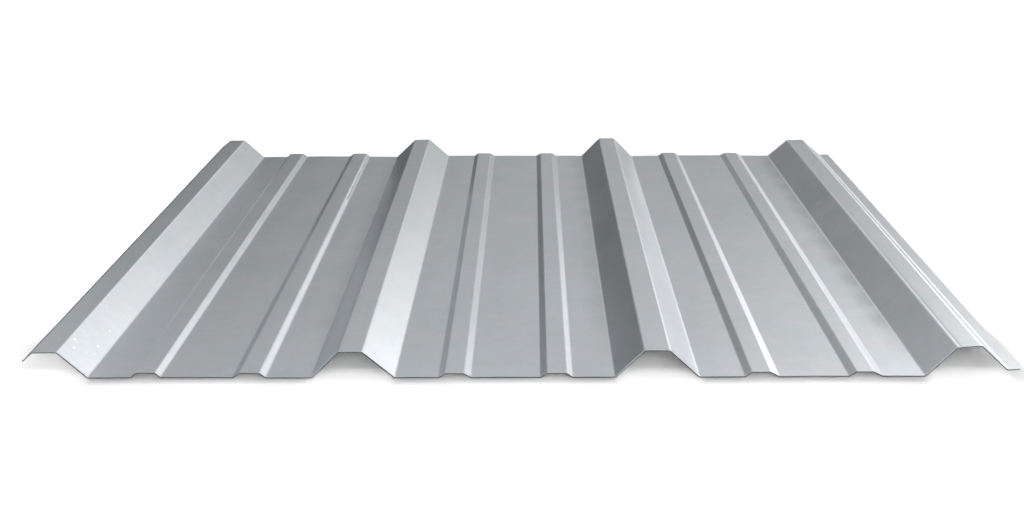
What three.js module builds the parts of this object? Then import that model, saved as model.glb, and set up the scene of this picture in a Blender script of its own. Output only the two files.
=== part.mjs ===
// Ribbed ("trapezoidal box rib") steel roofing and cladding sheet.
//
// One roll-formed sheet, lying flat, ribs running along Y.
//   X  across the ribs, overlap edge on the -X side, underlap edge on the +X side
//   Y  along the ribs (the length the sheet is cut to)
//   Z  up; the underside of the flat pans is z = 0
// The origin is the bottom centre of the bounding box.  Units are millimetres.
//
// The section is drawn once, as the centre line of the strip with rounded folds,
// thickened to the strip's gauge, and extruded for the sheet's length.
//
//        ____                       ____                       ____                       ____
//       /    \     __      __      /    \     __      __      /    \     __      __      /    \
//             \___/  \____/  \____/      \___/  \____/  \____/      \___/  \____/  \____/      \__
//      rib 1        minor ribs    rib 2                      rib 3                      rib 4   leg

import * as THREE from 'three';

// ---------------------------------------------------------------- driving dimensions
const SHEET_LENGTH = 914.4;      // cut length, along the ribs (36 in)
const STEEL_THICKNESS = 0.5;     // strip with its coating (about 26 gauge)

const RIB_PITCH = 304.8;         // major rib centre to centre (12 in)
const MAJOR_RIB_COUNT = 4;       // three bays, so 914.4 mm cover width
const RIB_HEIGHT = 28.0;         // pan surface to crown surface
const RIB_CROWN_WIDTH = 24.0;    // flat crown, between the fold lines
const RIB_BASE_WIDTH = 83.6;     // between the fold lines at the foot

const MINOR_RIB_SPACING = RIB_PITCH / 3;  // the two stiffeners of a bay, centre to centre
const MINOR_RIB_HEIGHT = 4.5;
const MINOR_RIB_CROWN_WIDTH = 19.2;
const MINOR_RIB_BASE_WIDTH = 32.6;

const OVERLAP_RETURN = 14.6;     // short down-turned return outside rib 1, along its slope
const BEARING_LEG = 12.0;        // flat leg outside rib 4, which bears under the next sheet

const FOLD_RADIUS = 3.0;         // centre-line radius of every fold of a major rib
const MINOR_FOLD_RADIUS = 4.0;   // the stiffeners are rolled softer
const MAX_FOLD_STEP_DEG = 11;    // largest turn of one facet along a fold

// ---------------------------------------------------------------- section centre line
// Corner points of the folded strip, from the overlap edge to the underlap edge, each
// with the radius its fold is rounded to.  z is measured to the strip's centre line.
const zPan = STEEL_THICKNESS / 2;
const zCrown = zPan + RIB_HEIGHT;
const zMinor = zPan + MINOR_RIB_HEIGHT;
const halfCrown = RIB_CROWN_WIDTH / 2;
const halfBase = RIB_BASE_WIDTH / 2;
const webRun = halfBase - halfCrown;
const webLength = Math.hypot(webRun, RIB_HEIGHT);

function ribCentre(i) {
  return (i - (MAJOR_RIB_COUNT - 1) / 2) * RIB_PITCH;
}

function sectionCorners() {
  const pts = [];
  const add = (x, z, r) => pts.push({ x, z, r });

  for (let i = 0; i < MAJOR_RIB_COUNT; i++) {
    const c = ribCentre(i);
    if (i === 0) {
      // The overlap edge: the crown, and a return that follows the slope of a full web.
      const k = OVERLAP_RETURN / webLength;
      add(c - halfCrown - webRun * k, zCrown - RIB_HEIGHT * k, 0);
    } else {
      add(c - halfBase, zPan, FOLD_RADIUS);
    }
    add(c - halfCrown, zCrown, FOLD_RADIUS);
    add(c + halfCrown, zCrown, FOLD_RADIUS);
    add(c + halfBase, zPan, FOLD_RADIUS);

    if (i < MAJOR_RIB_COUNT - 1) {
      const bay = c + RIB_PITCH / 2;
      for (const side of [-1, 1]) {
        const m = bay + (side * MINOR_RIB_SPACING) / 2;
        add(m - MINOR_RIB_BASE_WIDTH / 2, zPan, MINOR_FOLD_RADIUS);
        add(m - MINOR_RIB_CROWN_WIDTH / 2, zMinor, MINOR_FOLD_RADIUS);
        add(m + MINOR_RIB_CROWN_WIDTH / 2, zMinor, MINOR_FOLD_RADIUS);
        add(m + MINOR_RIB_BASE_WIDTH / 2, zPan, MINOR_FOLD_RADIUS);
      }
    } else {
      add(c + halfBase + BEARING_LEG, zPan, 0);
    }
  }
  return pts;
}

// Rounds each corner with an arc tangent to both sides, and returns the centre line as
// points with the unit normal on the strip's upper side.
function roundedCentreLine(corners) {
  const out = [];
  const unit = (a, b) => {
    const dx = b.x - a.x;
    const dz = b.z - a.z;
    const d = Math.hypot(dx, dz);
    return { x: dx / d, z: dz / d };
  };
  const push = (x, z, dir) => out.push({ x, z, nx: -dir.z, nz: dir.x });

  corners.forEach((p, i) => {
    if (i === 0) {
      push(p.x, p.z, unit(p, corners[1]));
      return;
    }
    if (i === corners.length - 1) {
      push(p.x, p.z, unit(corners[i - 1], p));
      return;
    }
    const a = unit(corners[i - 1], p);
    const b = unit(p, corners[i + 1]);
    const turn = Math.atan2(a.x * b.z - a.z * b.x, a.x * b.x + a.z * b.z);
    const reach = p.r * Math.tan(Math.abs(turn) / 2);
    const start = { x: p.x - a.x * reach, z: p.z - a.z * reach };
    const left = Math.sign(turn);
    const centre = { x: start.x - left * p.r * a.z, z: start.z + left * p.r * a.x };
    const steps = Math.max(2, Math.ceil(THREE.MathUtils.radToDeg(Math.abs(turn)) / MAX_FOLD_STEP_DEG));
    for (let s = 0; s <= steps; s++) {
      const t = (turn * s) / steps;
      const dir = {
        x: a.x * Math.cos(t) - a.z * Math.sin(t),
        z: a.x * Math.sin(t) + a.z * Math.cos(t),
      };
      push(centre.x + left * p.r * dir.z, centre.z - left * p.r * dir.x, dir);
    }
  });
  return out;
}

// Closed outline of the strip: along the upper face and back along the lower face.
function stripOutline(line, thickness) {
  const h = thickness / 2;
  const upper = line.map((p) => new THREE.Vector2(p.x + p.nx * h, p.z + p.nz * h));
  const lower = line.map((p) => new THREE.Vector2(p.x - p.nx * h, p.z - p.nz * h));
  return [...lower, ...upper.reverse()];
}

// ---------------------------------------------------------------- solid
const outline = stripOutline(roundedCentreLine(sectionCorners()), STEEL_THICKNESS);

// Centre the section on X, so the origin is the middle of the overall width.
const xs = outline.map((p) => p.x);
const middle = (Math.min(...xs) + Math.max(...xs)) / 2;
outline.forEach((p) => p.set(p.x - middle, p.y));

const geometry = new THREE.ExtrudeGeometry(new THREE.Shape(outline), {
  depth: SHEET_LENGTH,
  steps: 1,
  bevelEnabled: false,
});
geometry.rotateX(Math.PI / 2);              // section upright, length along -Y
geometry.translate(0, SHEET_LENGTH / 2, 0); // length centred on Y

const coatedSteel = new THREE.MeshStandardMaterial({
  name: 'zinc_alloy_coated_steel',
  color: new THREE.Color(0.66, 0.68, 0.69),
  roughness: 0.42,
  metalness: 0.9,
});

const sheet = new THREE.Mesh(geometry, coatedSteel);
sheet.name = 'ribbed_sheet';

const part = new THREE.Group();
part.name = 'ribbed_roofing_sheet';
part.add(sheet);

export default part;
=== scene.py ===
import math

import bpy
import numpy as np
from mathutils import Matrix, Vector


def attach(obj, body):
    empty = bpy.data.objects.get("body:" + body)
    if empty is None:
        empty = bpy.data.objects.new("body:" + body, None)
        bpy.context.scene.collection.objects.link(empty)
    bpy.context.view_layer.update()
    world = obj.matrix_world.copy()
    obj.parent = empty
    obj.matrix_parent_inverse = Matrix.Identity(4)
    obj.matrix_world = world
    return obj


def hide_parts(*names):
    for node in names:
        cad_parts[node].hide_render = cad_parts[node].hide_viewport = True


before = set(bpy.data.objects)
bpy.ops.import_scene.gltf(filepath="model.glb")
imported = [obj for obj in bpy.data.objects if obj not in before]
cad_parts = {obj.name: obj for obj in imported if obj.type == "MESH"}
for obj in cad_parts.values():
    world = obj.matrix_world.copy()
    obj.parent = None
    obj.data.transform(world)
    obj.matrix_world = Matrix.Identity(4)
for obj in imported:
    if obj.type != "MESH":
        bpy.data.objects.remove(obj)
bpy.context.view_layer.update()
CAD_NODE = "ribbed_sheet"

# --------------------------------------------------------------------------------------
# The sheet.  Millimetres here, metres in the mesh.  The nominal section is the CAD one.
# --------------------------------------------------------------------------------------
LENGTH = 914.4
THICK = 0.5
PITCH = 304.8
HEIGHT = 28.0
CROWN = 24.0
BASE = 83.6
MINOR_SPACING = PITCH / 3
MINOR_H = 4.5
MINOR_CROWN = 19.2
MINOR_BASE = 32.6
OVERLAP_RETURN = 14.6
BEARING_LEG = 12.0
FOLD_R = 3.0
MINOR_FOLD_R = 3.0

# How the sheet in hand departs from the nominal section, in mm, as it lies unheld:
# (corner name) -> (dx, dz) at the near end, (dx, dz) at the far end.  The folds run
# straight between the ends.  Rib 4 has sprung up off the floor, most at the near end,
# and the far end of the other ribs and pans stands a millimetre or two off it.
DEPART = {
    "TIP": ((-0.06, 0), (0.81, 2.2)), "M1TL": ((-0.36, -0.6), (2.67, 2.1)),
    "M1TR": ((0.51, -0.6), (2.35, 2.1)), "M1RF": ((-1.14, 0.3), (2.27, 1.7)),
    "m1LF": ((-1.4, 0.7), (-1.68, 2)), "m1TL": ((-2.6, 0.9), (-3.53, 2.6)),
    "m1TR": ((-2.93, 0.9), (-1.24, 2.7)), "m1RF": ((-4.32, 0.7), (-2.05, 2.5)),
    "m2LF": ((-1.13, 0.5), (-0.16, 2.4)), "m2TL": ((-0.84, 0.6), (-0.12, 2.6)),
    "m2TR": ((-0.03, 0.5), (1.98, 2.5)), "m2RF": ((-0.85, 0.2), (-1.47, 1.9)),
    "M2LF": ((1.5, 0), (1.41, 1.2)), "M2TL": ((-1.16, -0.8), (2.02, 2.1)),
    "M2TR": ((-0.74, -0.8), (1.55, 2.3)), "M2RF": ((0.67, 0), (2.31, 2.6)),
    "m3LF": ((1.18, 0), (2.12, 2.5)), "m3TL": ((0.42, -0.4), (1.42, 2.2)),
    "m3TR": ((0.38, -0.4), (1.8, 2.1)), "m3RF": ((0.45, 0), (1.42, 2.3)),
    "m4LF": ((0.59, 0), (1.92, 2.1)), "m4TL": ((0.81, -0.4), (2.28, 1.9)),
    "m4TR": ((1.15, -0.4), (1.19, 1.8)), "m4RF": ((-0.19, 0), (2.15, 1.9)),
    "M3LF": ((-1.31, 0), (-0.03, 1.6)), "M3TL": ((-2.4, 0.1), (-1.17, 3.2)),
    "M3TR": ((-1.2, 0), (-1.25, 3.1)), "M3RF": ((-1.52, 0), (-2.28, 0.7)),
    "m5LF": ((0.26, 0.2), (-1.64, 1.2)), "m5TL": ((0.55, 0.4), (-1.06, 1.8)),
    "m5TR": ((-0.55, 0.4), (-0.59, 1.9)), "m5RF": ((1.49, 0.3), (-1.5, 1.7)),
    "m6LF": ((1.27, 0.5), (-2.07, 1.5)), "m6TL": ((2.39, 0.6), (-0.47, 1.1)),
    "m6TR": ((-0.67, 0.5), (-1.38, 0.9)), "m6RF": ((2.07, 0.5), (-1.02, 1.1)),
    "M4LF": ((0.48, 0.4), (0.63, 0.4)), "M4TL": ((-0.68, 2.3), (0.57, -1.25)),
    "M4TR": ((-0.7, 4.2), (2.5, -0.55)), "M4RF": ((-3.0, 6.7), (0.3, 1.9)),
    "LIP": ((-2.9, 7.5), (2.95, 2.3)),
}

# at mid length the last crown and lip have rolled a little further over, in mm
BOW = {"M4TL": -0.35, "M4TR": 0.35, "M4RF": -0.1, "LIP": 0.25}


def nominal_corners():
    """(name, x, z, fold radius) of the strip's centre line, from the overlap edge."""
    zp, zc, zm = THICK / 2, THICK / 2 + HEIGHT, THICK / 2 + MINOR_H
    hc, hb = CROWN / 2, BASE / 2
    run = hb - hc
    web = math.hypot(run, HEIGHT)
    out = []
    minor = 0
    for i in range(4):
        c = (i - 1.5) * PITCH
        k = f"M{i + 1}"
        if i == 0:
            s = OVERLAP_RETURN / web
            out.append(("TIP", c - hc - run * s, zc - HEIGHT * s, 0.0))
        else:
            out.append((k + "LF", c - hb, zp, FOLD_R))
        out.append((k + "TL", c - hc, zc, FOLD_R))
        out.append((k + "TR", c + hc, zc, FOLD_R))
        out.append((k + "RF", c + hb, zp, FOLD_R))
        if i < 3:
            for side in (-1, 1):
                minor += 1
                m = c + PITCH / 2 + side * MINOR_SPACING / 2
                k = f"m{minor}"
                out.append((k + "LF", m - MINOR_BASE / 2, zp, MINOR_FOLD_R))
                out.append((k + "TL", m - MINOR_CROWN / 2, zm, MINOR_FOLD_R))
                out.append((k + "TR", m + MINOR_CROWN / 2, zm, MINOR_FOLD_R))
                out.append((k + "RF", m + MINOR_BASE / 2, zp, MINOR_FOLD_R))
        else:
            out.append(("LIP", c + hb + BEARING_LEG, zp, 0.0))
    xs = [p[1] for p in out]
    mid = (min(xs) + max(xs)) / 2
    return [(n, x - mid, z, r) for n, x, z, r in out]


CORNERS = nominal_corners()
FOLD_STEPS = 6
CELL = 12.0  # longest stretch between section points on the flats, mm
# folds that are rounder on this sheet than the nominal ones: (near end, far end), mm
ROUNDER = {"M4TR": (4.4, 4.0), "M4TL": (2.6, 3.0), "M4RF": (4.0, 5.0)}
# a flat keeps points this close to a fold, mm, so that the fold's shading stays on the fold
GUARDS = (0.5, 1.8)
# a shallow groove along the last crown, left by its left fold: (distance from the fold, depth), mm
GROOVE = [(1.8, 0.30), (2.3, 0.35), (2.9, 0.23), (3.6, 0.04), (4.4, 0.0)]
GROOVED = "M4TL-M4TR"


# Painted shade and painted highlight in the coating's colour, one number for each kind of place and the same all along
# the sheet: the left webs of the low ribs painted darker, as shade falls on them, and the upper right folds of the
# major ribs painted lighter as a highlight, their feet a little. These are choices of look, not measurements of wear.
PAINTED_WEB_SHADE = {"m%dLF-m%dTL" % (i, i): (-0.14, -0.14) for i in range(1, 7)}
# painted highlight along the upper right folds of the major ribs, and a little along their feet
PAINTED_FOLD_HIGHLIGHT = {"M%dTR" % i: (0.25, 0.25) for i in range(1, 5)}
PAINTED_FOLD_HIGHLIGHT.update({"M%dRF" % i: (0.10, 0.10) for i in range(1, 4)})
# painted shade: the pan is darker towards the foot of the rib, in a ragged strip, where the rib keeps the light off it
PAINTED_FOOT_SHADE = {"m2RF-M2LF": -0.12, "m4RF-M3LF": -0.17, "m6RF-M4LF": -0.31}
# painted shade along the overlap edge, for the dark line there: (to here in full, gone from here on, mm, and how much)
PAINTED_EDGE_SHADE = (1.6, 2.2, -0.55)


def along(values, t):
    return float(np.interp(t, np.linspace(0, 1, len(values)), values))


def unit(a, b):
    d = (b[0] - a[0], b[1] - a[1])
    n = math.hypot(*d)
    return d[0] / n, d[1] / n


def section(t):
    """Centre line of the strip at t, 0 at the near end and 1 at the far one.
    Returns points (n, 2), unit normals on the upper side (n, 2), how much of a fold each point is (n,), the painted
    shade or painted highlight in its colour (n,), and for a point on a flat its place across that flat, 0 to 1 (n,),
    with the flat's number (n,), or -1 on a fold."""
    c = []
    for name, x, z, r in CORNERS:
        (ax, az), (bx, bz) = DEPART[name]
        if name in ROUNDER:
            r = ROUNDER[name][0] * (1 - t) + ROUNDER[name][1] * t
        bow = BOW.get(name, 0.0) * 4 * t * (1 - t)
        c.append((x + ax + (bx - ax) * t, z + az + (bz - az) * t + bow, r))
    starts, ends, arcs = [], [], []
    for i, (x, z, r) in enumerate(c):
        if i in (0, len(c) - 1):
            starts.append((x, z))
            ends.append((x, z))
            arcs.append([])
            continue
        a, b = unit(c[i - 1], c[i]), unit(c[i], c[i + 1])
        turn = math.atan2(a[0] * b[1] - a[1] * b[0], a[0] * b[0] + a[1] * b[1])
        reach = r * math.tan(abs(turn) / 2)
        s = (x - a[0] * reach, z - a[1] * reach)
        left = math.copysign(1.0, turn)
        o = (s[0] - left * r * a[1], s[1] + left * r * a[0])
        arc = []
        for k in range(FOLD_STEPS + 1):
            u = turn * k / FOLD_STEPS
            d = (a[0] * math.cos(u) - a[1] * math.sin(u), a[0] * math.sin(u) + a[1] * math.cos(u))
            arc.append(((o[0] + left * r * d[1], o[1] - left * r * d[0]), (-d[1], d[0])))
        starts.append(arc[0][0])
        ends.append(arc[-1][0])
        arcs.append(arc)
    pts, nrm, fold, painted_shade_and_highlight, across, flat = [], [], [], [], [], []
    painted_tone = [along(PAINTED_WEB_SHADE.get(c[0] + "-" + d[0], (0, 0, 0)), t) for c, d in zip(CORNERS[:-1], CORNERS[1:])]

    def add(p, n, f, u, k, painted_value):
        painted_shade_and_highlight.append(painted_value)
        pts.append(p)
        nrm.append(n)
        fold.append(f)
        across.append(u)
        flat.append(k)

    for i in range(len(c)):
        for k, (p, n) in enumerate(arcs[i]):
            bend = math.sin(math.pi * k / FOLD_STEPS)
            painted_value = painted_tone[i - 1] + (painted_tone[i] - painted_tone[i - 1]) * k / FOLD_STEPS
            # painted highlight along the fold
            painted_value += along(PAINTED_FOLD_HIGHLIGHT.get(CORNERS[i][0], (0, 0, 0)), t) * bend
            add(p, n, 0.35 + 0.65 * bend, 0.0, -1, painted_value)
        if i == len(c) - 1:
            break
        p, q = ends[i], starts[i + 1]
        d = unit(p, q)
        n = (-d[1], d[0])
        span = math.hypot(q[0] - p[0], q[1] - p[1])
        # the counts come from the nominal section, so that they are the same at every station
        whole = math.hypot(CORNERS[i + 1][1] - CORNERS[i][1], CORNERS[i + 1][2] - CORNERS[i][2])
        stops = [g for g in GUARDS if i > 0] if whole > 9 or i > 0 else []
        head = [(g, 0.35 if g == GUARDS[0] else 0.0) for g in stops]
        if i == 0:
            head = [(PAINTED_EDGE_SHADE[0], 0.0), (PAINTED_EDGE_SHADE[1], 0.0)]
        if CORNERS[i][0] + "-" + CORNERS[i + 1][0] == GROOVED:
            head += [(g, 0.0) for g, _ in GROOVE[1:]]
        tail = [(span - g, 0.35 if g == GUARDS[0] else 0.0) for g in reversed(GUARDS) if i < len(c) - 2]
        cells = max(1, math.ceil((whole - 6.0) / CELL))
        lo = head[-1][0] if head else 0.0
        hi = tail[0][0] if tail else span
        inner = [(lo + (hi - lo) * k / cells, 0.0) for k in range(1, cells)]
        # the overlap edge starts with its painted shade
        if i == 0:
            add(p, n, 0.0, 0.0, i, painted_tone[i] + PAINTED_EDGE_SHADE[2])
        for s, f in head + inner + tail:
            # painted shade: by the overlap edge, and in the pans towards the feet of the ribs
            painted_dark = PAINTED_EDGE_SHADE[2] if i == 0 and s <= PAINTED_EDGE_SHADE[0] else 0.0
            if CORNERS[i][0] + "-" + CORNERS[i + 1][0] in PAINTED_FOOT_SHADE:
                near = max(0.0, (s / span - 0.42) / 0.58) * (1 + 0.22 * math.sin(2 * math.pi * t * LENGTH / 71 + 0.9))
                painted_dark = PAINTED_FOOT_SHADE[CORNERS[i][0] + "-" + CORNERS[i + 1][0]] * min(1.0, near) * min(1.0, max(0.0, 7 * (t - 0.03)))
            add((p[0] + d[0] * s, p[1] + d[1] * s), n, f, s / span, i, painted_tone[i] + painted_dark)
        if i == len(c) - 2:
            add(q, n, 0.0, 1.0, i, painted_tone[i])
    return tuple(np.array(v) for v in (pts, nrm, fold, painted_shade_and_highlight, across, flat))


STATIONS = 84
FLATS = [CORNERS[i][0] + "-" + CORNERS[i + 1][0] for i in range(len(CORNERS) - 1)]
GROOVED_SPAN = CROWN - 2.0  # mm between the fold arcs, near enough
rng = np.random.default_rng(7)
# every flat has its own slow waves along the sheet: (wavelength, phase, height in mm)
WAVES = {}
for i, name in enumerate(FLATS):
    wide = CORNERS[i + 1][1] - CORNERS[i][1]
    big = 0.22 if wide > 40 else (0.05 if wide > 15 else 0.0)
    WAVES[i] = [(rng.uniform(260, 420), rng.uniform(0, 2 * math.pi), big * rng.uniform(0.7, 1.2)),
                (rng.uniform(120, 190), rng.uniform(0, 2 * math.pi), big * 0.35 * rng.uniform(0.7, 1.2))]


# pans that dip beside the left foot of a rib: (depth in mm, wavelength, phase)
DRAWN = {"m2RF-M2LF": (0.12, 96.0, 1.9), "m4RF-M3LF": (0.12, 110.0, 0.3), "m6RF-M4LF": (0.20, 74.0, 0.6)}


def oil_canning(y, across, flat):
    """How far the strip stands off its straight section, mm, along its normal."""
    out = np.zeros(len(across))
    m = flat == FLATS.index(GROOVED)
    t = y / LENGTH + 0.5
    fade = 1.0 - np.clip((t - 0.5) / 0.3, 0, 1)
    out[m] -= fade * np.interp(across[m] * GROOVED_SPAN, [0.5] + [g for g, _ in GROOVE], [0.0] + [d for _, d in GROOVE])
    for i, waves in WAVES.items():
        m = flat == i
        if not m.any() or waves[0][2] == 0:
            continue
        u = across[m]
        w = np.sin(math.pi * u) ** 2
        h = 0.0
        for lam, ph, amp in waves:
            h = h + amp * (0.5 + 0.5 * math.sin(2 * math.pi * y / lam + ph))
        skew = 0.10 * math.sin(2 * math.pi * y / 350 + i)
        out[m] += h * w * (1 + skew * np.cos(math.pi * u))
        if FLATS[i] in DRAWN:
            # the pan dips, and rises to the foot of the rib where the web was drawn down
            depth, lam, ph = DRAWN[FLATS[i]]
            depth *= (1 + 0.45 * math.sin(2 * math.pi * y / lam + ph)) * min(1.0, 0.25 + 3.5 * t)
            near = np.clip((u - 0.40) / 0.60, 0, 1)
            out[m] -= depth * 6.75 * near ** 2 * (1 - near)
    return out


# The shear rounds the upper edge of both ends over and leaves a burr on the lower one:
# (distance from the cut, how far the upper face is down, how far the lower face is down), mm
RIM = [(0.0, 0.33, 0.60), (0.35, 0.16, 0.34), (0.75, 0.03, 0.0), (1.3, 0.0, 0.0), (2.4, 0.0, 0.0)]
# the sheet rests on those burrs
LIFT = 0.60


def build_sheet():
    rim = np.array([r[0] for r in RIM])
    ys = np.linspace(-LENGTH / 2, LENGTH / 2, STATIONS + 1)[1:-1]
    ys = np.concatenate([-LENGTH / 2 + rim, ys, LENGTH / 2 - rim[::-1]])
    upper, lower, folds, painted_tones = [], [], [], []
    for y in ys:
        t = (y + LENGTH / 2) / LENGTH
        p, n, fold, painted_shade_and_highlight, across, flat = section(t)
        p = p + n * oil_canning(y, across, flat)[:, None] + (0, LIFT)
        folds.append(fold)
        painted_tones.append(painted_shade_and_highlight)
        inside = LENGTH / 2 - abs(y)
        over = np.interp(inside, rim, [r[1] for r in RIM])
        burr = np.interp(inside, rim, [r[2] for r in RIM])
        for store, h in ((upper, THICK / 2 - over), (lower, -THICK / 2 - burr)):
            q = p + n * h
            store.append(np.column_stack([q[:, 0], np.full(len(q), y), q[:, 1]]))
    upper, lower = np.array(upper), np.array(lower)  # (stations, n, 3)
    m, n = upper.shape[:2]
    verts = np.concatenate([upper.reshape(-1, 3), lower.reshape(-1, 3)]) / 1000.0
    iu = np.arange(m * n).reshape(m, n)
    il = iu + m * n

    def quads(a, b, c, d):
        return np.stack([a, b, c, d], -1).reshape(-1, 4)

    skin = [
        quads(iu[:-1, :-1], iu[:-1, 1:], iu[1:, 1:], iu[1:, :-1]),   # weather face
        quads(il[:-1, :-1], il[1:, :-1], il[1:, 1:], il[:-1, 1:]),   # underside
    ]
    cuts = [
        quads(iu[0, :-1], il[0, :-1], il[0, 1:], iu[0, 1:]),         # near cut
        quads(iu[-1, :-1], iu[-1, 1:], il[-1, 1:], il[-1, :-1]),     # far cut
        quads(iu[:-1, 0], iu[1:, 0], il[1:, 0], il[:-1, 0]),         # overlap edge
        quads(iu[:-1, -1], il[:-1, -1], il[1:, -1], iu[1:, -1]),     # underlap edge
    ]
    skin, cuts = np.concatenate(skin), np.concatenate(cuts)
    faces = np.concatenate([skin, cuts])
    me = bpy.data.meshes.new("coated_sheet")
    me.from_pydata(verts.tolist(), [], faces.tolist())
    me.update()
    me.polygons.foreach_set("use_smooth", np.ones(len(me.polygons), bool))
    me.polygons.foreach_set("material_index", np.repeat([0, 1], [len(skin), len(cuts)]).astype(np.int32))
    fold = me.attributes.new("fold", "FLOAT", "POINT")
    fold.data.foreach_set("value", np.tile(np.array(folds, np.float32).reshape(-1), 2))
    painted_tone = me.attributes.new("painted_shade_and_highlight", "FLOAT", "POINT")
    painted_tone.data.foreach_set("value", np.tile(np.array(painted_tones, np.float32).reshape(-1), 2))
    # the sheared rim is crisp: mark the edges where a face of the strip meets a cut
    rim = set()
    for row in (iu, il):
        for a in (row[0], row[-1], row[:, 0], row[:, -1]):
            rim.update(zip(a[:-1].tolist(), a[1:].tolist()))
    for a in (np.stack([iu[0, 0], il[0, 0]]), np.stack([iu[0, -1], il[0, -1]]),
              np.stack([iu[-1, 0], il[-1, 0]]), np.stack([iu[-1, -1], il[-1, -1]])):
        rim.add((int(a[0]), int(a[1])))
    rim |= {(b, a) for a, b in rim}
    sharp = me.attributes.get("sharp_edge") or me.attributes.new("sharp_edge", "BOOLEAN", "EDGE")
    ev = np.zeros(len(me.edges) * 2, np.int32)
    me.edges.foreach_get("vertices", ev)
    flags = np.array([(int(a), int(b)) in rim for a, b in ev.reshape(-1, 2)], bool)
    sharp.data.foreach_set("value", flags)
    ob = bpy.data.objects.new("coated_sheet", me)
    bpy.context.scene.collection.objects.link(ob)
    return ob


sheet = build_sheet()


# --------------------------------------------------------------------------------------
# Materials
# --------------------------------------------------------------------------------------
class Nodes:
    """Short names for making a material's nodes."""

    def __init__(self, mat):
        mat.use_nodes = True
        self.nt = mat.node_tree
        self.bsdf = self.nt.nodes["Principled BSDF"]
        self.obj = self.nt.nodes.new("ShaderNodeTexCoord").outputs["Object"]

    def put(self, socket, value):
        if isinstance(value, bpy.types.NodeSocket):
            self.nt.links.new(value, socket)
        else:
            socket.default_value = value

    def math(self, op, a, b=0.0, c=0.0, clamp=False):
        n = self.nt.nodes.new("ShaderNodeMath")
        n.operation, n.use_clamp = op, clamp
        for s, v in zip(n.inputs, (a, b, c)):
            self.put(s, v)
        return n.outputs[0]

    def vec(self, op, a, b):
        n = self.nt.nodes.new("ShaderNodeVectorMath")
        n.operation = op
        self.put(n.inputs[0], a)
        if op == "SCALE":
            self.put(n.inputs["Scale"], b)
        else:
            self.put(n.inputs[1], b)
        return n.outputs[0]

    def noise(self, where, scale, detail=2.0, rough=0.5, distortion=0.0):
        n = self.nt.nodes.new("ShaderNodeTexNoise")
        self.put(n.inputs["Vector"], where)
        n.inputs["Scale"].default_value = scale
        n.inputs["Detail"].default_value = detail
        n.inputs["Roughness"].default_value = rough
        n.inputs["Distortion"].default_value = distortion
        return n.outputs

    def voronoi(self, where, scale, feature="F1"):
        n = self.nt.nodes.new("ShaderNodeTexVoronoi")
        n.feature = feature
        self.put(n.inputs["Vector"], where)
        n.inputs["Scale"].default_value = scale
        return n.outputs

    def ramp(self, x, lo, hi, a=0.0, b=1.0, smooth=True):
        """x from lo to hi becomes a to b, and is held outside."""
        n = self.nt.nodes.new("ShaderNodeMapRange")
        n.interpolation_type = "SMOOTHSTEP" if smooth else "LINEAR"
        for s, v in zip(n.inputs, (x, lo, hi, a, b)):
            self.put(s, v)
        return n.outputs[0]

    def mix(self, f, a, b, kind="MIX"):
        n = self.nt.nodes.new("ShaderNodeMix")
        n.data_type, n.blend_type = "RGBA", kind
        self.put(n.inputs[0], f)
        self.put(n.inputs[6], a)
        self.put(n.inputs[7], b)
        return n.outputs[2]

    def split(self, v):
        n = self.nt.nodes.new("ShaderNodeSeparateXYZ")
        self.put(n.inputs[0], v)
        return n.outputs

    def bump(self, height, distance, strength=1.0, normal=None):
        n = self.nt.nodes.new("ShaderNodeBump")
        n.inputs["Strength"].default_value = strength
        n.inputs["Distance"].default_value = distance
        self.put(n.inputs["Height"], height)
        if normal is not None:
            self.put(n.inputs["Normal"], normal)
        return n.outputs[0]


# pale splashes: centre, size, strength (mm)
SPLASHES = [
    (-454.9, -311.1, 23.6, 1.3, 0.8), (-439.8, -303.6, 9.1, 1.1, 0.7), (-436.8, -295.8, 6.1, 1.2, 0.8),
    (-440.9, -351.3, 9.9, 1.8, 0.8), (-456.6, -413.5, 25.0, 1.9, 1.0), (-440.5, -394.5, 9.3, 1.6, 1.0),
    (-453.2, -428.3, 21.4, 2.1, 0.7), (-437.2, -391.0, 5.6, 1.0, 0.7), (-447.0, -372.0, 16.0, 0.9, 0.5),
    (-451.0, -341.0, 19.9, 0.9, 0.6), (-445.5, -322.0, 14.6, 1.0, 0.7), (-449.5, -404.0, 18.4, 1.0, 0.6),
    (-443.8, -419.0, 13.0, 1.2, 0.7), (-455.2, -389.0, 23.9, 0.9, 0.5), (-438.8, -411.0, 8.2, 1.1, 0.8),
]


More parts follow.
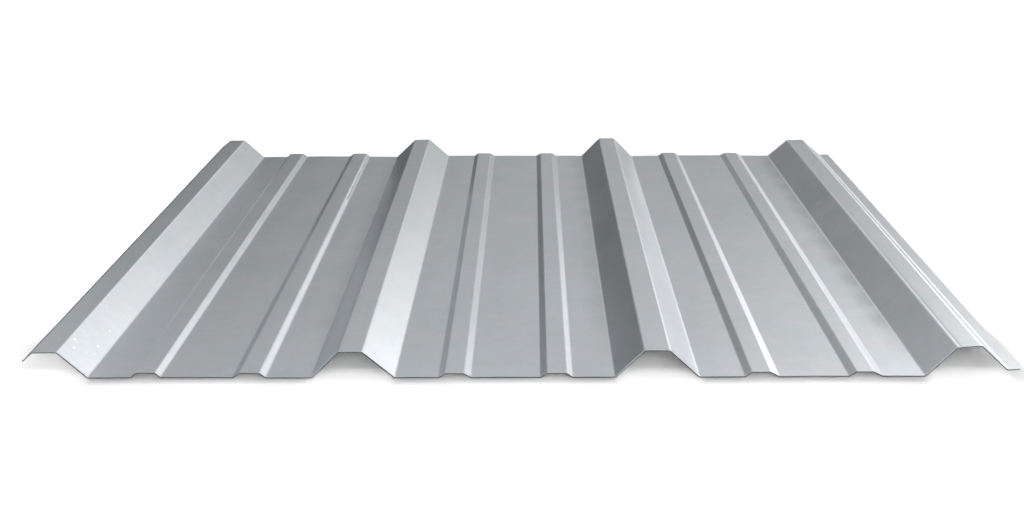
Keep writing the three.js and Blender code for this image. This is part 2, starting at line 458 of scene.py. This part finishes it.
def coated_steel():
    """Bare zinc-alloy coated steel: fine crystals, faint rolling lines, soft stains, handling marks, and a coating a
    little duller where it was bent. It also carries painted shade and painted highlight from the mesh: darker left
    webs, pans by the rib feet and overlap edge, and lighter folds."""
    mat = bpy.data.materials.new("zinc_alloy_coated_steel")
    n = Nodes(mat)
    p = n.obj
    x, y, z = n.split(p)

    # crystals of the coating, 2 to 3 mm across, with ragged borders
    ragged = n.vec("ADD", p, n.vec("SCALE", n.vec("SUBTRACT", n.noise(p, 700, 2)["Color"], (0.5, 0.5, 0.5)), 0.0016))
    cell = n.voronoi(ragged, 400)
    c_tone, c_rough, _ = n.split(cell["Color"])
    # lines from the rolls, along the sheet
    lines = n.noise(n.vec("MULTIPLY", p, (420.0, 2.2, 420.0)), 1.0, 3, 0.6)["Fac"]
    broad = n.noise(n.vec("MULTIPLY", p, (60.0, 0.9, 60.0)), 1.0, 2, 0.5)["Fac"]
    # soft stains: tone, and a drift between cooler and warmer
    stain = n.noise(p, 15, 3, 0.55, 0.4)["Fac"]
    cloud = n.noise(n.vec("ADD", p, (3.1, 7.7, 1.3)), 5.5, 2, 0.5)["Fac"]
    drift = n.noise(n.vec("ADD", p, (9.2, 4.4, 2.6)), 19, 2, 0.5, 0.5)["Fac"]
    mottle = n.noise(n.vec("ADD", p, (1.7, 5.3, 8.8)), 88, 2, 0.6)["Fac"]

    # white specks, where dirt in the pot or water has marked the coating: a few anywhere
    sp = n.voronoi(p, 150)
    s_pick, s_size, _ = n.split(sp["Color"])
    radius = n.math("MULTIPLY_ADD", s_size, 0.14, 0.06)
    blob = n.ramp(n.math("SUBTRACT", sp["Distance"], radius), 0.0, 0.05, 1.0, 0.0)
    speck = n.math("MULTIPLY", blob, n.ramp(s_pick, 0.976, 0.978, 0.0, 0.40))
    # and a cluster of splashes on the outer web of the first rib, near one end
    wobble = n.vec("SCALE", n.vec("SUBTRACT", n.noise(p, 900, 2)["Color"], (0.5, 0.5, 0.5)), 0.0040)
    ragged_p = n.vec("ADD", p, wobble)
    for mx, my, mz, size, white in SPLASHES:
        gap = n.nt.nodes.new("ShaderNodeVectorMath")
        gap.operation = "DISTANCE"
        n.put(gap.inputs[0], ragged_p)
        gap.inputs[1].default_value = (mx / 1000, my / 1000, mz / 1000)
        spot = n.ramp(gap.outputs["Value"], size * 0.0006, size * 0.0012, white, 0.0)
        speck = n.math("MAXIMUM", speck, spot)

    # hairline scuffs from stacking and handling, in two directions
    def scuffs(turn, scale, keep, off):
        c, s = math.cos(turn), math.sin(turn)
        u = n.math("ADD", n.math("MULTIPLY", x, c), n.math("MULTIPLY", y, s))
        v = n.math("SUBTRACT", n.math("MULTIPLY", y, c), n.math("MULTIPLY", x, s))
        cv = n.nt.nodes.new("ShaderNodeCombineXYZ")
        n.put(cv.inputs[0], n.math("MULTIPLY_ADD", u, 0.05 * scale, off))
        n.put(cv.inputs[1], n.math("MULTIPLY", v, scale))
        n.put(cv.inputs[2], off)
        e = n.voronoi(cv.outputs[0], 1.0, "DISTANCE_TO_EDGE")["Distance"]
        line = n.ramp(e, 0.004, 0.02, 1.0, 0.0)
        gate = n.ramp(n.noise(n.vec("ADD", p, (off, off, off)), 26, 2)["Fac"], keep, keep + 0.06)
        return n.math("MULTIPLY", line, gate)

    scuff = n.math("MAXIMUM", scuffs(1.52, 70.0, 0.60, 2.7), scuffs(0.45, 55.0, 0.66, 8.3))

    fold = n.nt.nodes.new("ShaderNodeAttribute")
    fold.attribute_name = "fold"
    fold = fold.outputs["Fac"]
    # painted shade and painted highlight, carried in by the mesh
    painted_shade_and_highlight = n.nt.nodes.new("ShaderNodeAttribute")
    painted_shade_and_highlight.attribute_name = "painted_shade_and_highlight"

    # tone of the metal
    tone = n.math("ADD", n.ramp(c_tone, 0, 1, -0.007, 0.007, False), n.ramp(stain, 0.25, 0.75, -0.024, 0.024, False))
    tone = n.math("ADD", tone, n.ramp(lines, 0.25, 0.75, -0.006, 0.006, False))
    tone = n.math("ADD", tone, n.ramp(broad, 0.25, 0.75, -0.010, 0.010, False))
    tone = n.math("ADD", tone, n.ramp(cloud, 0.3, 0.7, -0.020, 0.020, False))
    tone = n.math("ADD", tone, n.ramp(mottle, 0.25, 0.75, -0.026, 0.026, False))
    tone = n.math("ADD", tone, n.math("MULTIPLY", scuff, 0.05))
    # the folds a little lighter in colour: partly the worked coating, partly a painted highlight along the bends
    tone = n.math("ADD", tone, n.math("MULTIPLY", fold, 0.03))
    tone = n.math("ADD", tone, painted_shade_and_highlight.outputs["Fac"])
    grey = n.nt.nodes.new("ShaderNodeCombineXYZ")
    one = n.math("ADD", tone, 1.0)
    for s in grey.inputs:
        n.put(s, one)
    base = n.mix(n.ramp(drift, 0.32, 0.68), (0.626, 0.703, 0.746, 1.0), (0.658, 0.696, 0.749, 1.0))
    base = n.mix(1.0, base, grey.outputs[0], "MULTIPLY")
    base = n.mix(speck, base, (0.97, 0.975, 0.975, 1.0))
    n.put(n.bsdf.inputs["Base Color"], base)

    # roughness
    r = n.ramp(c_rough, 0, 1, ROUGH - 0.008, ROUGH + 0.008, False)
    r = n.math("ADD", r, n.ramp(stain, 0.25, 0.75, 0.010, -0.010, False))
    r = n.math("ADD", r, n.ramp(lines, 0.25, 0.75, -0.006, 0.006, False))
    r = n.math("ADD", r, n.ramp(drift, 0.3, 0.7, -0.008, 0.008, False))
    r = n.math("ADD", r, n.math("MULTIPLY", fold, 0.035))
    r = n.math("ADD", r, n.math("MULTIPLY", scuff, 0.06))
    r = n.math("ADD", r, n.math("MULTIPLY", speck, 0.05))
    n.put(n.bsdf.inputs["Roughness"], r)
    n.bsdf.inputs["Metallic"].default_value = 1.0

    # relief: slow unevenness of the strip, roll lines and orange peel
    uneven = n.noise(p, 38, 2, 0.45)["Fac"]
    peel = n.noise(p, 520, 2, 0.5)["Fac"]
    h = n.math("MULTIPLY_ADD", lines, 0.010, uneven)
    h = n.math("MULTIPLY_ADD", peel, 0.014, h)
    n.put(n.bsdf.inputs["Normal"], n.bump(h, 0.00012))
    return mat


def sheared_edge():
    """The cut through the strip: bare steel, torn and burnished by the shear blade. Its dark colour is partly painted
    shade, for the dark shadow line along the cut.
    """
    mat = bpy.data.materials.new("sheared_steel_edge")
    n = Nodes(mat)
    p = n.obj
    drag = n.noise(n.vec("MULTIPLY", p, (900.0, 900.0, 120.0)), 1.0, 3, 0.6)["Fac"]
    stain = n.noise(p, 60, 3, 0.6)["Fac"]
    tone = n.math("ADD", n.ramp(drag, 0.3, 0.7, 0.88, 1.06, False), n.ramp(stain, 0.3, 0.7, -0.05, 0.05, False))
    grey = n.nt.nodes.new("ShaderNodeCombineXYZ")
    for s in grey.inputs:
        n.put(s, tone)
    # dark bare steel, darkened further as painted shade for the shadow line along the cut
    n.put(n.bsdf.inputs["Base Color"], n.mix(1.0, (0.34, 0.35, 0.35, 1.0), grey.outputs[0], "MULTIPLY"))
    n.put(n.bsdf.inputs["Roughness"], n.ramp(drag, 0.25, 0.75, 0.30, 0.48, False))
    n.bsdf.inputs["Metallic"].default_value = 1.0
    n.put(n.bsdf.inputs["Normal"], n.bump(drag, 0.00004))
    return mat


ROUGH = 0.32
sheet.data.materials.append(coated_steel())
sheet.data.materials.append(sheared_edge())
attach(sheet, "root")
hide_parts(CAD_NODE)

# --------------------------------------------------------------------------------------
# Floor, light and camera
# --------------------------------------------------------------------------------------
def floor_material(name, milky):
    """Plain white.  Its near part is milky, so that light seeps a few centimetres into the edges of a shadow. It also
    glows, though it is no lamp: painted light under and behind the sheet, in front of it, beside its ends and in the
    mouths of the ribs, which lightens the shadows there."""
    mat = bpy.data.materials.new(name)
    n = Nodes(mat)
    n.bsdf.inputs["Base Color"].default_value = (0.9, 0.9, 0.9, 1)
    n.bsdf.inputs["Roughness"].default_value = 0.9
    n.bsdf.inputs["Specular IOR Level"].default_value = 0.0
    if milky:
        n.bsdf.subsurface_method = "RANDOM_WALK"
        n.bsdf.inputs["Subsurface Weight"].default_value = 1.0
        n.bsdf.inputs["Subsurface Radius"].default_value = (1.0, 1.0, 1.0)
        n.bsdf.inputs["Subsurface Scale"].default_value = MILKY
    x, y, _ = n.split(n.obj)
    # painted light: the floor glows under and behind the sheet, well in front of it and beside its ends, to lift the
    # shadows there
    glow = n.ramp(y, -0.37, -0.29, 0.0, 0.45)
    glow = n.math("ADD", glow, n.ramp(y, 0.30, 0.90, 0.0, 0.55))
    glow = n.math("ADD", glow, n.ramp(y, -0.54, -0.90, 0.0, 0.40))
    glow = n.math("ADD", glow, n.ramp(n.math("ABSOLUTE", x), 0.503, 0.58, 0.0, 0.50))
    glow = n.math("ADD", glow, n.ramp(x, 0.499, 0.513, 0.0, 0.35))
    # and all of it well away from the sheet, where the softboxes face the other way
    away = n.nt.nodes.new("ShaderNodeVectorMath")
    away.operation = "LENGTH"
    n.put(away.inputs[0], n.obj)
    glow = n.math("ADD", glow, n.ramp(away.outputs["Value"], 1.0, 1.7, 0.0, 1.0))
    # painted light in front of the sheet and in the mouths of the ribs, to lighten the shadows there
    rib = n.math("PINGPONG", n.math("ADD", x, 9.5 * PITCH / 1000 + 0.01558), PITCH / 1000 / 2)
    painted_mouth_light = n.math("MULTIPLY", n.ramp(rib, 0.048, 0.034), n.ramp(y, -0.425, -0.451, 0.0, 0.30))
    glow = n.math("ADD", glow, n.math("MAXIMUM", painted_mouth_light, n.ramp(y, -0.463, -0.484, 0.0, 0.30)))
    n.bsdf.inputs["Emission Color"].default_value = (1, 1, 1, 1)
    n.put(n.bsdf.inputs["Emission Strength"], glow)
    return mat


MILKY = 0.054  # m
S, U, V = 40.0, 0.62, 0.60
me = bpy.data.meshes.new("studio_floor")
xs, ys = (-S, -U, U, S), (-S, -V, V, S)
me.from_pydata([(x, y, 0) for y in ys for x in xs], [],
               [(4 * j + i, 4 * j + i + 1, 4 * j + i + 5, 4 * j + i + 4) for j in range(3) for i in range(3)])
me.materials.append(floor_material("studio_floor", False))
me.materials.append(floor_material("studio_floor_near", True))
me.polygons[4].material_index = 1
floor = bpy.data.objects.new("studio_floor", me)
bpy.context.scene.collection.objects.link(floor)
# the metal mirrors the studio's soft patches all round, and not the white floor
floor.visible_glossy = False

# Soft patches of light around the sheet: (azimuth, elevation, tightness, brightness).
# Azimuth 0 is +Y, 90 is +X.  A patch falls off as exp(tightness * (cosine - 1)).
PATCHES = [
    (32, 16, 90, 3.510), (32, -16, 90, 1.691), (40, -8, 90, 1.534), (24, 32, 90, 1.502),
    (-32, 24, 90, 1.402), (16, 32, 90, 1.185), (32, 42, 90, 0.969), (32, 8, 90, 0.889),
    (-8, 32, 90, 0.871), (0, 0, 90, 0.668), (-16, 32, 90, 0.414), (0, 24, 90, 0.400),
    (24, 8, 90, 0.383), (8, 24, 90, 0.356), (40, 0, 90, 0.197), (-24, 24, 90, 0.180),
    (32, -8, 90, 0.179),
    (-90, 28, 14, 0.50), (90, 28, 14, 0.45), (-65, 17, 30, 2.0),
    (120, 12, 12, 0.25), (150, 12, 12, 0.35), (-150, 12, 12, 0.25), (-120, 12, 12, 0.25),
    (0, 90, 8, 0.9), (180, 55, 8, 0.5), (-90, 55, 8, 0.35), (90, 55, 8, 0.35),
]


def studio_world():
    world = bpy.data.worlds.new("studio")
    bpy.context.scene.world = world
    world.use_nodes = True
    nt = world.node_tree
    out = nt.nodes["World Output"]
    room = nt.nodes["Background"]
    room.inputs["Color"].default_value = (1, 1, 1, 1)
    where = nt.nodes.new("ShaderNodeTexCoord").outputs["Generated"]
    total = None
    for az, el, tight, bright in PATCHES:
        az, el = math.radians(az), math.radians(el)
        dot = nt.nodes.new("ShaderNodeVectorMath")
        dot.operation = "DOT_PRODUCT"
        nt.links.new(where, dot.inputs[0])
        dot.inputs[1].default_value = (math.sin(az) * math.cos(el), math.cos(az) * math.cos(el), math.sin(el))
        power = nt.nodes.new("ShaderNodeMath")
        power.operation = "MULTIPLY_ADD"
        nt.links.new(dot.outputs["Value"], power.inputs[0])
        power.inputs[1].default_value = tight
        power.inputs[2].default_value = math.log(bright) - tight
        glow = nt.nodes.new("ShaderNodeMath")
        glow.operation = "EXPONENT"
        nt.links.new(power.outputs[0], glow.inputs[0])
        if total is None:
            total = glow.outputs[0]
        else:
            add = nt.nodes.new("ShaderNodeMath")
            add.operation = "ADD"
            nt.links.new(total, add.inputs[0])
            nt.links.new(glow.outputs[0], add.inputs[1])
            total = add.outputs[0]
    nt.links.new(total, room.inputs["Strength"])
    # the brighter the light, the warmer
    warm = nt.nodes.new("ShaderNodeMapRange")
    for socket, value in zip(warm.inputs, (0.0, 0.25, 1.2, 0.0, 1.0)):
        socket.default_value = value
    nt.links.new(total, warm.inputs[0])
    tint = nt.nodes.new("ShaderNodeMix")
    tint.data_type = "RGBA"
    nt.links.new(warm.outputs[0], tint.inputs[0])
    tint.inputs[6].default_value = (1.0, 1.0, 1.0, 1.0)
    tint.inputs[7].default_value = (1.055, 1.0, 0.965, 1.0)
    nt.links.new(tint.outputs[2], room.inputs["Color"])
    # the backdrop itself is plain white
    white = nt.nodes.new("ShaderNodeBackground")
    white.inputs["Color"].default_value = (1, 1, 1, 1)
    mix = nt.nodes.new("ShaderNodeMixShader")
    nt.links.new(nt.nodes.new("ShaderNodeLightPath").outputs["Is Camera Ray"], mix.inputs[0])
    nt.links.new(room.outputs[0], mix.inputs[1])
    nt.links.new(white.outputs[0], mix.inputs[2])
    nt.links.new(mix.outputs[0], out.inputs["Surface"])
    # the patches are for the metal to mirror; the floor is lit by the softboxes below
    world.cycles_visibility.diffuse = False


studio_world()


def fill(name, pos, size, watts, aim=(0, 0, 0)):
    """A softbox that lights the floor and does not show in the metal."""
    li = bpy.data.lights.new(name, "AREA")
    li.shape, li.size, li.energy = "SQUARE", size, watts
    ob = bpy.data.objects.new(name, li)
    bpy.context.scene.collection.objects.link(ob)
    ob.location = pos
    ob.rotation_mode = "QUATERNION"
    ob.rotation_quaternion = (Vector(aim) - Vector(pos)).to_track_quat("-Z", "Y")
    ob.visible_camera = False
    ob.visible_glossy = False


fill("fill_front", (0.0, -2.2, 0.40), 0.9, 62)
fill("fill_front_high", (0.0, -1.8, 1.3), 0.9, 8)
fill("fill_front_right", (1.1, -1.9, 0.3), 0.6, 25)
fill("fill_left", (-2.0, 0.0, 0.5), 0.9, 48)
fill("fill_right", (2.0, 0.2, 0.5), 0.9, 32)

# camera fitted to the corners of the section seen at both ends of the sheet
FOCAL_PX = 1328.8137
CAM_POS = (0.0097347, -1.6744780, 0.5237543)
CAM_RIGHT = (0.9999014544, 0.0118861572, -0.0074699858)
CAM_DOWN = (-0.0034217284, -0.3097096948, -0.9508250085)
CAM_FWD = (-0.0136151826, 0.9507568691, -0.3096385031)

cam_data = bpy.data.cameras.new("camera")
cam_data.sensor_width = 36.0
cam_data.lens = FOCAL_PX * 36.0 / 1024.0
cam_data.clip_start, cam_data.clip_end = 0.05, 200.0
cam = bpy.data.objects.new("camera", cam_data)
bpy.context.scene.collection.objects.link(cam)
r, d, f = CAM_RIGHT, CAM_DOWN, CAM_FWD
cam.matrix_world = Matrix((
    (r[0], -d[0], -f[0], CAM_POS[0]),
    (r[1], -d[1], -f[1], CAM_POS[1]),
    (r[2], -d[2], -f[2], CAM_POS[2]),
    (0, 0, 0, 1)))
bpy.context.scene.camera = cam

bpy.context.scene.view_settings.view_transform = "Standard"
bpy.context.scene.view_settings.look = "None"
bpy.context.scene.view_settings.exposure = 0.0
bpy.context.scene.view_settings.gamma = 1.0
